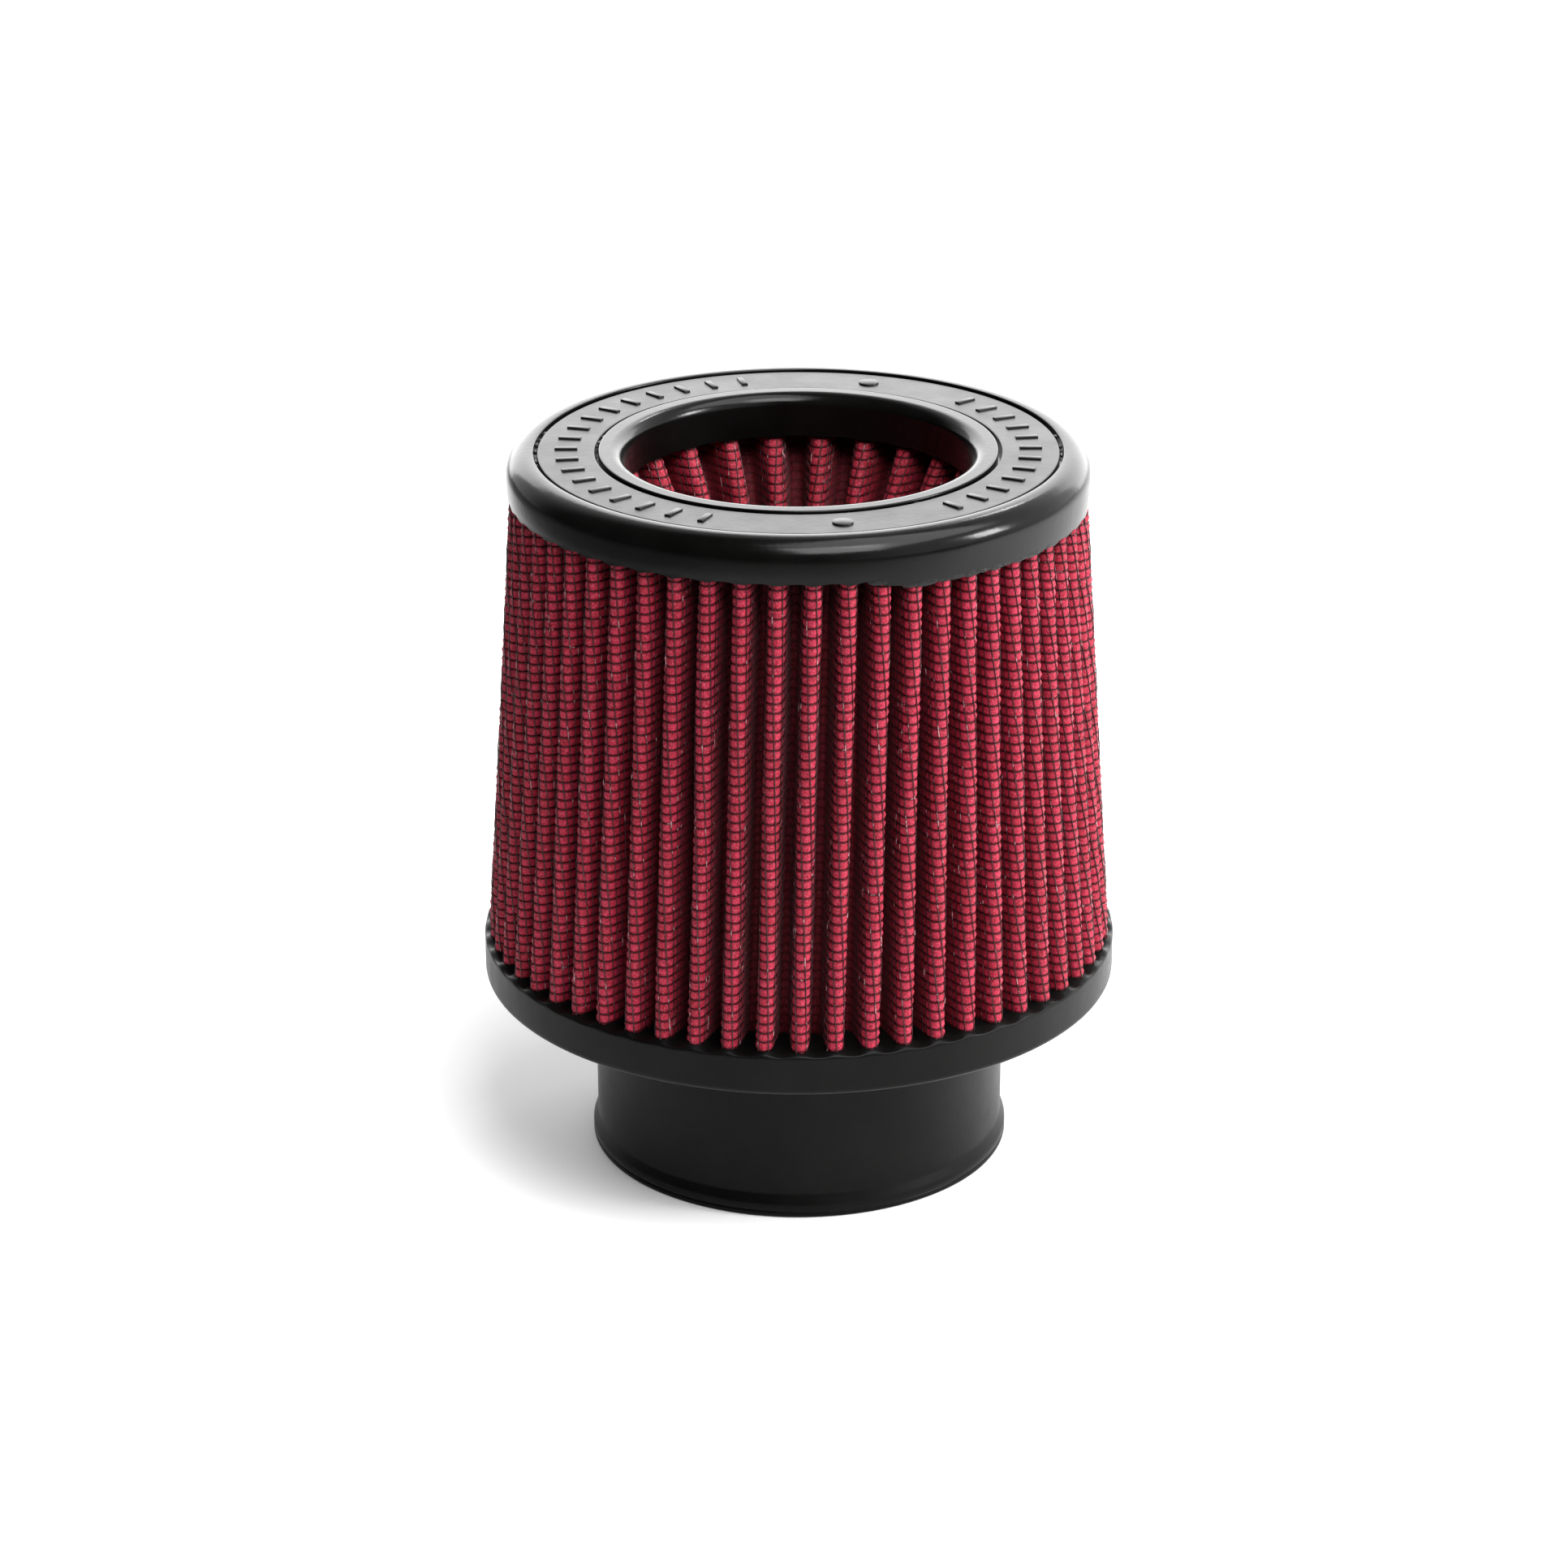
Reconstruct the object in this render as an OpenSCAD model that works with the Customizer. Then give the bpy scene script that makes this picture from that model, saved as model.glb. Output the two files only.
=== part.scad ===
// Clamp-on performance air filter with a cone of pleated cotton gauze and a second, inverted cone
// let into its top. The neck stands on the origin plane, its axis is Z, and +Z points to the top cap.

/* [Overall] */
// Height from the neck's mouth to the top of the cap
overall_h = 152.4; // [150:0.2:160]

/* [Neck] */
// Outside radius of the pipe that the neck clamps round
pipe_r = 38.1; // [36:0.1:38.4]
// Thickness of the neck's wall
neck_wall = 5; // [4.5:0.1:6]
// Height of the neck, from its mouth to the underside of the rim
neck_h = 38.9; // [34:0.1:42]
// How far the stop bead stands out at the neck's mouth
bead_out = 1; // [0.6:0.1:1.4]
// Height of the stop bead
bead_h = 3; // [2.4:0.1:4]
// Width of the lead-in chamfer inside the neck's mouth
lead_in = 1.2; // [0.8:0.1:1.6]

/* [Base rim] */
// Outside radius of the rim that the outer cone is cast into
rim_r = 66.2; // [66.1:0.05:67]
// Height of the rim
rim_h = 8.3; // [8:0.1:9.5]

/* [Top cap] */
// Outside radius of the cap
cap_r = 59.2; // [59.1:0.05:60]
// Height of the cap
cap_h = 9; // [8.6:0.1:10]
// Radius of the rolled outer edge
cap_edge_r = 4.5; // [3:0.1:5]
// How far the skirt's foot draws in, so that the pleat tips come out of it in small arches
skirt_taper = 1; // [0.6:0.05:1.2]
// Height over which the skirt draws in
skirt_h = 2.2; // [1.6:0.1:3.4]
// Radius of the hole that leads into the inverted cone
hole_r = 35.4; // [35:0.05:35.8]
// Radius of the rolled lip round the hole
lip_r = 2.6; // [2:0.1:3.4]

/* [Band ring] */
// Inside and outside radius of the ring that is set into the cap's top
band_radii = [41.2, 52.8];
// Gap between the ring and each side of its channel
band_gap = 0.8; // [0.5:0.05:1]
// Depth of the channel
channel_d = 2.4; // [1.8:0.1:3]
// How far the ring's face lies below the cap's top, which is also how far its marks stand up
mark_h = 0.35; // [0.2:0.05:0.5]
// Radius of the two round marks
dot_r = 2.2; // [1.6:0.1:2.6]
// Directions of the round marks from the axis
dot_angles = [71.5, -79.5];
// Length and width of the plain bars between the round marks
bar_size = [4.6, 1.3];
// Angle from one bar to the next
bar_step = 8.4; // [7:0.1:12]
// Numbers of bars on the two arcs, from the first round mark onwards
bar_counts = [18, 12];

/* [Pleated media] */
// Thickness of the whole pleated wall: cotton gauze between two wire screens
wall_t = 1.7; // [1.6:0.02:1.72]
// Thickness of one wire screen
screen_t = 0.35; // [0.25:0.01:0.4]
// Length of media cast into each end piece
potted = 5; // [3:0.5:5]

/* [Outer cone] */
// Number of pleats in the outer cone
outer_pleats = 57; // [52:1:57]
// Radius of the pleat tips where they leave the base rim
outer_tip_low = 65.5; // [65.3:0.05:65.6]
// Radius of the pleat tips where they enter the top cap
outer_tip_high = 58.9; // [58.8:0.05:58.95]
// Depth of the pleats, from tip to root
outer_depth = 10.8; // [10:0.1:11]
// How far round the axis the pleats lean between base and cap, where they lean most
outer_lean = 3.8; // [0:0.1:4]
// Direction from the axis in which they lean most
outer_lean_at = -70; // [-90:5:-50]
// Direction of the seam from the axis, which is at the back
outer_seam_at = 90.1; // [84:0.1:96]

/* [Inverted cone] */
// Number of pleats in the inverted cone
inner_pleats = 24; // [20:2:24]
// Radius of the pleat tips where they leave the top cap
inner_tip_high = 36.2; // [36.1:0.05:36.4]
// Radius of the pleat tips where they enter the end plug
inner_tip_low = 15; // [15:0.1:17]
// Depth of the pleats, from tip to root
inner_depth = 10.4; // [9.6:0.1:10.6]
// Height of the end plug's upper face above the origin plane
plug_top = 100; // [96:0.5:106]
// Height of the end plug
plug_h = 8.5; // [8:0.1:10]
// Direction of the seam from the axis, which is at the front
inner_seam_at = 270.6; // [262:0.2:278]

/* [Seams] */
// Gap between the two ends of the pleated strip where they lie together
seam_gap = 0.3; // [0.3:0.05:0.4]
// Length of strip that the crimped clip grips
flap = 4; // [3.6:0.1:4.2]
// Thickness of the clip's sheet metal
clip_t = 0.45; // [0.3:0.05:0.6]
// Gap between each end of a clip and the urethane
clip_end_gap = 1.5; // [1.2:0.1:3]

/* [Hidden] */
$fn = 96;

neck_r = pipe_r + neck_wall;
rim_top = neck_h + rim_h;

// The air entry rolls over the rim's whole height, so the pipe's seat ends level with its underside
entry_r = rim_h;

cap_bottom = overall_h - cap_h;
half_wall = wall_t / 2;
plug_bottom = plug_top - plug_h;
plug_r = inner_tip_low + inner_depth + 2;
plug_edge_r = 1.6;
rim_edge_r = 1.2;
mouth_edge_r = 0.6;

// Vertices that round one tip and one root of a pleat
tip_count = 4;
root_count = 2;

// Power that narrows the stretch of the outer cone in which the pleats lean
lean_focus = 10;

// A pleat row is [pleats, side, tip radius, root radius, tip bend, root bend, lean], where side is 1
// when the tips point away from the axis and -1 when they point at it, a bend is the radius of the
// wall's middle line round the fold, and lean is the row's largest turn round the axis.
outer_low = [outer_pleats, 1, outer_tip_low, outer_tip_low - outer_depth, 1.05, 1.5, 0];
outer_high = [outer_pleats, 1, outer_tip_high, outer_tip_high - outer_depth, 1.05, 1.25, outer_lean];
inner_low = [inner_pleats, -1, inner_tip_low, inner_tip_low + inner_depth, 1, 1.35, 0];
inner_high = [inner_pleats, -1, inner_tip_high, inner_tip_high + inner_depth, 1.35, 2.2, 0];

function polar(r, a) = [r * cos(a), r * sin(a)];

function bearing(v) = atan2(v[1], v[0]);

// Points of an arc, ends included
function arc(centre, r, from, to, steps) =
    [for (i = [0:steps]) centre + polar(r, from + (to - from) * i / steps)];

// Direction of a fold that lies the given number of half pitches from the seam
function fold_at(row, steps) =
    let (
        even = steps * 180 / row[0],
        from_most = even + outer_seam_at - outer_lean_at
    )
    even + row[6] * pow((1 + cos(from_most)) / 2, lean_focus);

// Radii of the circles that the folds' middle lines turn round
function tip_centre_r(row) = row[2] - row[1] * (half_wall + row[4]);
function root_centre_r(row) = row[3] + row[1] * (half_wall + row[5]);

// Angle from a tip's own direction to the normal of its flank, from the tangent between tip and root
function tip_span(row) =
    let (
        step = 180 / row[0],
        across = polar(root_centre_r(row), step) - [tip_centre_r(row), 0],
        normal = bearing(across) - row[1] * acos((row[4] + row[5]) / norm(across))
    )
    row[1] > 0 ? normal : 180 - normal;

function root_span(row) = tip_span(row) - row[1] * 180 / row[0];

// Middle line of the flap beside the seam, where the flank bends to lie along it
function seam_bend(row) = [row[3] + row[1] * flap, seam_gap / 2 + half_wall];

// The same angle as tip_span, for the flank that runs to the seam
function seam_span(row) =
    let (
        step = 180 / row[0],
        across = seam_bend(row) - polar(tip_centre_r(row), step),
        normal = bearing(across) + row[1] * acos(row[4] / norm(across))
    )
    row[1] > 0 ? step - normal : normal + 180 - step;

// A fold's vertices on the face that lies d from the middle line. The sides of the fold stay tangent
// to the bend, so that every layer keeps its thickness.
function fold(centre, towards, bend, from, to, count) =
    let (turn = (to - from) / count)
    [for (i = [0:count - 1]) centre + polar(bend / cos(turn / 2), towards + from + turn * (i + 0.5))];

function tip(row, i, d) =
    let (
        side = row[1],
        at = fold_at(row, 2 * i + 1),
        before = i == 0 ? seam_span(row) : tip_span(row),
        after = i == row[0] - 1 ? seam_span(row) : tip_span(row)
    )
    fold(polar(tip_centre_r(row), at), side > 0 ? at : at + 180, row[4] + d,
        -side * before, side * after, tip_count);

function root(row, i, d) =
    let (side = row[1], at = fold_at(row, 2 * i + 2))
    fold(polar(root_centre_r(row), at), side > 0 ? at + 180 : at, row[5] - d,
        side * root_span(row), -side * root_span(row), root_count);

// The end of the strip beside the seam: its cut edge, and the bend into the first flank
function strip_end(row, d) =
    let (
        across = 180 / row[0] - row[1] * seam_span(row) + (row[1] > 0 ? 0 : 180),
        flank = polar(1, across),
        along = [0, -1]
    )
    [
        [row[3], seam_gap / 2 + half_wall - d],
        seam_bend(row) + d * (flank + along) / (1 + flank * along)
    ];

function mirrored(points) = [for (i = [len(points) - 1:-1:0]) [points[i][0], -points[i][1]]];

// One face of the pleated strip, from the seam all the way round and back to it
function strip_face(row, d) =
    let (start = strip_end(row, d))
    concat(
        start,
        [
            for (i = [0:row[0] - 1])
                each concat(tip(row, i, d), i < row[0] - 1 ? root(row, i, d) : [])
        ],
        mirrored(start)
    );

// Closed outline of the layer between two faces of the strip
function layer_outline(row, low, high) =
    let (back = strip_face(row, low))
    concat(strip_face(row, high), [for (i = [len(back) - 1:-1:0]) back[i]]);

function raised(points, z) = [for (p = points) [p[0], p[1], z]];

// Pleated layer between two levels. Each fold is straight, so both faces are ruled.
module ruled_layer(low_row, high_row, z_low, z_high, low, high) {
    bottom = layer_outline(low_row, low, high);
    top = layer_outline(high_row, low, high);
    n = len(bottom);
    half = n / 2;
    front = [for (i = [0:half - 2]) each [[i, i + 1, n + i + 1], [i, n + i + 1, n + i]]];
    back = [
        for (i = [half:n - 2])
            each [[i, i + 1, n + i], [i + 1, n + i + 1, n + i]]
    ];
    edges = [
        for (i = [half - 1, n - 1])
            let (j = (i + 1) % n)
            each [[i, j, n + j], [i, n + j, n + i]]
    ];
    ends = [
        for (i = [0:half - 2])
            let (j = n - 1 - i)
            each [
                [i, j, i + 1], [i + 1, j, j - 1],
                [n + i, n + i + 1, n + j], [n + i + 1, n + j - 1, n + j]
            ]
    ];
    all_faces = concat(front, back, edges, ends);
    // An outline whose tips point at the axis runs clockwise, so its faces are turned over
    faces = low_row[1] > 0 ? [for (f = all_faces) [f[0], f[2], f[1]]] : all_faces;
    polyhedron(concat(raised(bottom, z_low), raised(top, z_high)), faces);
}

// The straight length of media that is cast into an end piece
module potted_layer(row, z, low, high) {
    translate([0, 0, z])
        linear_extrude(potted)
            polygon(layer_outline(row, low, high));
}

module outer_layer(low, high) {
    rotate([0, 0, outer_seam_at]) {
        potted_layer(outer_low, rim_top - potted, low, high);
        ruled_layer(outer_low, outer_high, rim_top, cap_bottom, low, high);
        potted_layer(outer_high, cap_bottom, low, high);
    }
}

module inner_layer(low, high) {
    rotate([0, 0, inner_seam_at]) {
        potted_layer(inner_low, plug_top - potted, low, high);
        ruled_layer(inner_low, inner_high, plug_top, cap_bottom, low, high);
        potted_layer(inner_high, cap_bottom, low, high);
    }
}

module base_flange() {
    color([0.1, 0.1, 0.1])
    difference() {
        rotate_extrude()
            polygon(concat(
                [[pipe_r, lead_in], [pipe_r + lead_in, 0]],
                arc([neck_r + bead_out - mouth_edge_r, mouth_edge_r], mouth_edge_r, -90, 0, 6),
                [[neck_r + bead_out, bead_h], [neck_r, bead_h + 2 * bead_out], [neck_r, neck_h]],
                arc([rim_r - rim_edge_r, neck_h + rim_edge_r], rim_edge_r, -90, 0, 8),
                [[rim_r, rim_top]],
                arc([pipe_r + entry_r, rim_top - entry_r], entry_r, 90, 180, 12)
            ));
        rotate([0, 0, outer_seam_at])
            potted_layer(outer_low, rim_top - potted, -half_wall, half_wall);
    }
}

module top_cap() {
    color([0.12, 0.12, 0.12])
    difference() {
        rotate_extrude()
            polygon(concat(
                [[hole_r, cap_bottom]],
                [[cap_r - skirt_taper, cap_bottom], [cap_r, cap_bottom + skirt_h]],
                arc([cap_r - cap_edge_r, overall_h - cap_edge_r], cap_edge_r, 0, 90, 12),
                arc([hole_r + lip_r, overall_h - lip_r], lip_r, 90, 180, 12)
            ));
        translate([0, 0, overall_h - channel_d])
            difference() {
                cylinder(h = cap_h, r = band_radii[1] + band_gap);
                cylinder(h = 3 * cap_h, r = band_radii[0] - band_gap, center = true);
            }
        rotate([0, 0, outer_seam_at])
            potted_layer(outer_high, cap_bottom, -half_wall, half_wall);
        rotate([0, 0, inner_seam_at])
            potted_layer(inner_high, cap_bottom, -half_wall, half_wall);
    }
}

module top_band_ring() {
    middle = (band_radii[0] + band_radii[1]) / 2;
    gaps = [dot_angles[1] + 360 - dot_angles[0], dot_angles[0] - dot_angles[1]];
    color([0.16, 0.155, 0.16])
    translate([0, 0, overall_h - channel_d]) {
        difference() {
            cylinder(h = channel_d - mark_h, r = band_radii[1]);
            cylinder(h = 3 * channel_d, r = band_radii[0], center = true);
        }
        // Every mark is a post that goes down through the ring
        for (i = [0, 1])
            rotate([0, 0, dot_angles[i]]) {
                translate([middle, 0, 0])
                    cylinder(h = channel_d, r = dot_r, $fn = 32);
                for (j = [0:bar_counts[i] - 1])
                    rotate([0, 0, gaps[i] / 2 + (j - (bar_counts[i] - 1) / 2) * bar_step])
                        translate([middle - bar_size[0] / 2, -bar_size[1] / 2, 0])
                            cube([bar_size[0], bar_size[1], channel_d]);
            }
    }
}

module cone_end_plug() {
    color([0.1, 0.1, 0.1])
    difference() {
        rotate_extrude()
            polygon(concat(
                [[0, plug_bottom]],
                arc([plug_r - plug_edge_r, plug_bottom + plug_edge_r], plug_edge_r, -90, 0, 8),
                [[plug_r, plug_top], [0, plug_top]]
            ));
        rotate([0, 0, inner_seam_at])
            potted_layer(inner_low, plug_top - potted, -half_wall, half_wall);
    }
}

module outer_wire_screen() {
    color([0.25, 0.05, 0.08])
        outer_layer(half_wall - screen_t, half_wall);
}

module outer_cotton_gauze() {
    color([0.7, 0.08, 0.16])
        outer_layer(screen_t - half_wall, half_wall - screen_t);
}

module outer_backing_screen() {
    color([0.3, 0.3, 0.32])
        outer_layer(-half_wall, screen_t - half_wall);
}

module inner_wire_screen() {
    color([0.25, 0.05, 0.08])
        inner_layer(half_wall - screen_t, half_wall);
}

module inner_cotton_gauze() {
    color([0.7, 0.08, 0.16])
        inner_layer(screen_t - half_wall, half_wall - screen_t);
}

module inner_backing_screen() {
    color([0.3, 0.3, 0.32])
        inner_layer(-half_wall, screen_t - half_wall);
}

// Crimped channel that grips both ends of a strip, along the line from one root radius to the other
module seam_clip(low_row, high_row, z_low, z_high) {
    side = low_row[1];
    lean = atan((high_row[3] - low_row[3]) / (z_high - z_low));
    run = (z_high - z_low) / cos(lean);
    inside = seam_gap / 2 + wall_t;
    outside = inside + clip_t;
    grip = flap - 1;
    color([0.62, 0.63, 0.65])
        translate([low_row[3], 0, z_low])
            rotate([0, lean, 0])
                translate([0, 0, clip_end_gap + grip * abs(sin(lean))])
                    linear_extrude(run - 2 * (clip_end_gap + grip * abs(sin(lean))))
                        polygon([
                            [-side * clip_t, -outside], [side * grip, -outside],
                            [side * grip, -inside], [0, -inside],
                            [0, inside], [side * grip, inside],
                            [side * grip, outside], [-side * clip_t, outside]
                        ]);
}

module outer_seam_clip() {
    rotate([0, 0, outer_seam_at])
        seam_clip(outer_low, outer_high, rim_top, cap_bottom);
}

module inner_seam_clip() {
    rotate([0, 0, inner_seam_at])
        seam_clip(inner_low, inner_high, plug_top, cap_bottom);
}

base_flange();
top_cap();
top_band_ring();
cone_end_plug();
outer_wire_screen();
outer_cotton_gauze();
outer_backing_screen();
outer_seam_clip();
inner_wire_screen();
inner_cotton_gauze();
inner_backing_screen();
inner_seam_clip();
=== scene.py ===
"""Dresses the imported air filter: woven, pleated media, cast urethane ends and a pale studio."""

import math

import bmesh
import bpy
import numpy as np
from bpy.props import FloatProperty, FloatVectorProperty, IntProperty, PointerProperty
from bpy.types import NodeSocket, Operator, Panel, PropertyGroup
from mathutils import Matrix, Vector


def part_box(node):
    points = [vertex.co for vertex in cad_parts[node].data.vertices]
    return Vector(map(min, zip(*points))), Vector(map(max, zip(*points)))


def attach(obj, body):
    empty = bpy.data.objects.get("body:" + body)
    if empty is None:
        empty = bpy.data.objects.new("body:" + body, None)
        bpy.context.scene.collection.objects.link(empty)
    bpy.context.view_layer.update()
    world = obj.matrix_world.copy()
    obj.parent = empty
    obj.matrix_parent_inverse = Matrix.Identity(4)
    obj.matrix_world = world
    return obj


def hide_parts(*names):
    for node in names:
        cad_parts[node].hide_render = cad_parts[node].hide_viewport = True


bl_info = {
    "name": "Pleated Cone Air Filter",
    "version": (1, 0, 0),
    "blender": (4, 5, 0),
    "location": "View3D > Sidebar > Filter",
    "description": "Builds the visible pieces of a clamp-on air filter round its packed model",
    "category": "Object",
}

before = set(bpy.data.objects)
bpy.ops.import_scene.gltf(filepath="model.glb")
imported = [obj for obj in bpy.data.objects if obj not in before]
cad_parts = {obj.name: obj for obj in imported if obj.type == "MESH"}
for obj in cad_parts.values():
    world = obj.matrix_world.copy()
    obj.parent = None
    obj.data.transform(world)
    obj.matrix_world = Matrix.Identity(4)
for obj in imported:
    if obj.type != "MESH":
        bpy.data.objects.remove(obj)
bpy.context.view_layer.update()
BODY = "root"

MM = 0.001
TINY = 1e-6
FULL_TURN = 2 * math.pi
EDGE_ANGLE = math.radians(50)

RIM_RADIUS, _, RIM_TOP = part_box("base_flange")[1]
CAP_RADIUS, _, CAP_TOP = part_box("top_cap")[1]
CAP_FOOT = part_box("top_cap")[0].z
RING_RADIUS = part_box("top_band_ring")[1].x
RING_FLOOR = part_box("top_band_ring")[0].z
PLUG_RADIUS, _, PLUG_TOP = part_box("cone_end_plug")[1]
PLUG_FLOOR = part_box("cone_end_plug")[0].z


# Settings


def length(name, description, millimetres):
    default = millimetres * MM
    return FloatProperty(
        name=name, description=description, default=default, precision=5, subtype="DISTANCE"
    )


def angle(name, description, degrees):
    return FloatProperty(
        name=name, description=description, default=math.radians(degrees), subtype="ANGLE"
    )


def number(name, description, default, kind=IntProperty):
    return kind(name=name, description=description, default=default)


def colour(name, description, rgb):
    return FloatVectorProperty(
        name=name, description=description, default=rgb, size=3, min=0.0, max=1.0, subtype="COLOR"
    )


class EndPieceSizes(PropertyGroup):
    pipe: length("Pipe radius", "Inside radius of the neck", 38.1)
    neck: length("Neck radius", "Outside radius of the neck", 43.1)
    neck_height: length("Neck height", "From the mouth to the rim's underside", 38.9)
    bead: length("Stop bead", "How far the bead stands out at the neck's mouth", 1.0)
    bead_height: length("Bead height", "Height of the stop bead", 3.0)
    cap_edge: length("Cap edge", "Radius of the cap's rolled outer edge", 4.5)
    hole: length("Hole radius", "Radius of the hole that leads into the cone", 35.4)
    lip: length("Lip radius", "Radius of the rolled lip round the hole", 2.6)
    skirt_taper: length("Skirt taper", "How far the skirt's foot draws in", 0.15)
    skirt_height: length("Skirt height", "Height over which the skirt draws in", 3.6)
    foot_rise: length("Foot rise", "How much higher the cap's foot ends on its short side", 0.6)
    foot_sag: length("Foot sag", "How much lower the cap's foot hangs on its long side", 0.95)
    sag_from: angle("Sag from", "Direction in which the cap's long side starts", -73)
    sag_to: angle("Sag to", "Direction in which the cap's long side ends", 60)
    meniscus: length("Meniscus", "How far the urethane crept up the pleats", 0.9)
    ring_inside: length("Ring inside", "Inside radius of the band ring", 41.2)
    band_gap: length("Band gap", "Gap on each side of the band ring", 0.8)
    channel: length("Channel", "Depth of the channel that the ring lies in", 2.4)
    mark_height: length("Mark height", "How far the marks stand up", 0.35)
    dot: length("Dot radius", "Radius of the two round marks", 2.2)
    bar_length: length("Bar length", "Length of a bar mark", 4.6)
    bar_width: length("Bar width", "Width of a bar mark", 1.3)
    bar_step: angle("Bar step", "Angle from one bar to the next", 8.4)


class OuterConeSizes(PropertyGroup):
    pleats: number("Pleats", "Number of pleats", 57)
    tip_low: length("Low tips", "Radius of the tips at the rim", 65.5)
    tip_high: length("High tips", "Radius of the tips at the cap", 58.9)
    depth: length("Depth", "From tip to root", 10.8)
    cells: number("Cells", "Upright wires in one pleat", 15)
    drift: number("Drift", "Cells an upright wire wanders on its way up", 6.9, FloatProperty)
    lean: angle("Lean", "How far round the pleats lean where they lean most", 3.8)
    lean_at: angle("Lean direction", "Direction in which they lean most", -70)
    seam_at: angle("Seam", "Direction of the seam", 90.1)


class InvertedConeSizes(PropertyGroup):
    pleats: number("Pleats", "Number of pleats", 24)
    tip_low: length("Low tips", "Radius of the tips at the plug", 15.0)
    tip_high: length("High tips", "Radius of the tips at the cap", 36.2)
    depth: length("Depth", "From tip to root", 10.4)
    cells: number("Cells", "Upright wires in one pleat", 16)
    drift: number("Drift", "Cells an upright wire wanders on its way up", 3.0, FloatProperty)
    seam_at: angle("Seam", "Direction of the seam", 270.6)


class MeshSizes(PropertyGroup):
    wire: length("Wire radius", "Radius of one wire with its coating", 0.12)
    pitch: length("Wire pitch", "Height from one level wire to the next", 1.9)
    level: length("Wire level", "Middle of the wires from the wall's middle", 0.60)
    crimp: length("Crimp", "How far a wire bends over and under", 0.06)
    reach: length("Visible reach", "Strip on each side of a tip that shows wires", 5.4)
    pillow: length("Pillow", "How far the gauze swells between the wires", 0.36)


class Finishes(PropertyGroup):
    gauze: colour("Gauze", "Oiled cotton gauze", (0.44, 0.018, 0.057))
    # The oil colour, also the painted shade of the inner cone and, made darker, of the roots and
    # wires.
    gauze_oil_and_shade: colour("Gauze in oil", "Where the oil lies thick", (0.28, 0.005, 0.015))
    # Pale fibres standing up from the gauze; on the crests they are also a painted sheen.
    fibre_and_sheen: colour("Fibre", "Fibre ends that stand up from the gauze", (0.60, 0.11, 0.165))
    wire: colour("Wire", "Coated wire", (0.028, 0.003, 0.005))
    # Pale spots of wear on the wires, also standing in as painted glints.
    wire_worn_and_glint: colour("Worn wire", "Where the coating is thin", (0.42, 0.24, 0.25))
    urethane: colour("Urethane", "Cast black urethane", (0.0015, 0.0015, 0.0014))
    band: colour("Band", "The band ring's urethane", (0.0040, 0.0036, 0.0040))
    bare_wire: colour("Bare wire", "Wire on the clean side", (0.55, 0.55, 0.57))
    clip: colour("Clip", "Sheet metal of the seam clips", (0.60, 0.61, 0.63))
    floor: colour("Floor", "The studio floor", (0.86, 0.86, 0.86))
    floor_shade: colour("Shaded floor", "The dark end of the graduated paper", (0.22, 0.22, 0.22))


class FilterSizes(PropertyGroup):
    ends: PointerProperty(type=EndPieceSizes)
    outer: PointerProperty(type=OuterConeSizes)
    inner: PointerProperty(type=InvertedConeSizes)
    mesh: PointerProperty(type=MeshSizes)
    finishes: PointerProperty(type=Finishes)


def sizes():
    return bpy.context.scene.filter_sizes


# Pleats. A place on a pleated strip is its pleat coordinate u, with roots at whole numbers and tips
# halfway between them, its height, and its distance d from the wall's middle, towards the wires.
# Points in a level plane are complex numbers x + iy.

HALF_WALL = 0.85 * MM
GAUZE_UNDER_WIRE = 0.44 * MM
WIRE_END = 0.25 * MM
GAUZE_BACK = -0.5 * MM
BACKING_FRONT = -0.52 * MM

SEAM_GAP = 0.3 * MM
FLAP = 4.0 * MM
LEAN_FOCUS = 10
BOWS = np.array([1, 0.6, 0.35])
ROOT_STRAY = 0.4

CAST_IN = 1.0 * MM
CALM_AT = math.radians(260)
CALM_WIDTH = math.radians(28)
CALM_SHARE = 0.72
SEAM_PLEATS = 5


def spoke(azimuth):
    """Unit vectors that point from the axis in some directions."""
    return np.exp(1j * azimuth)


def smooth(share):
    return share * share * (3 - 2 * share)


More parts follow.
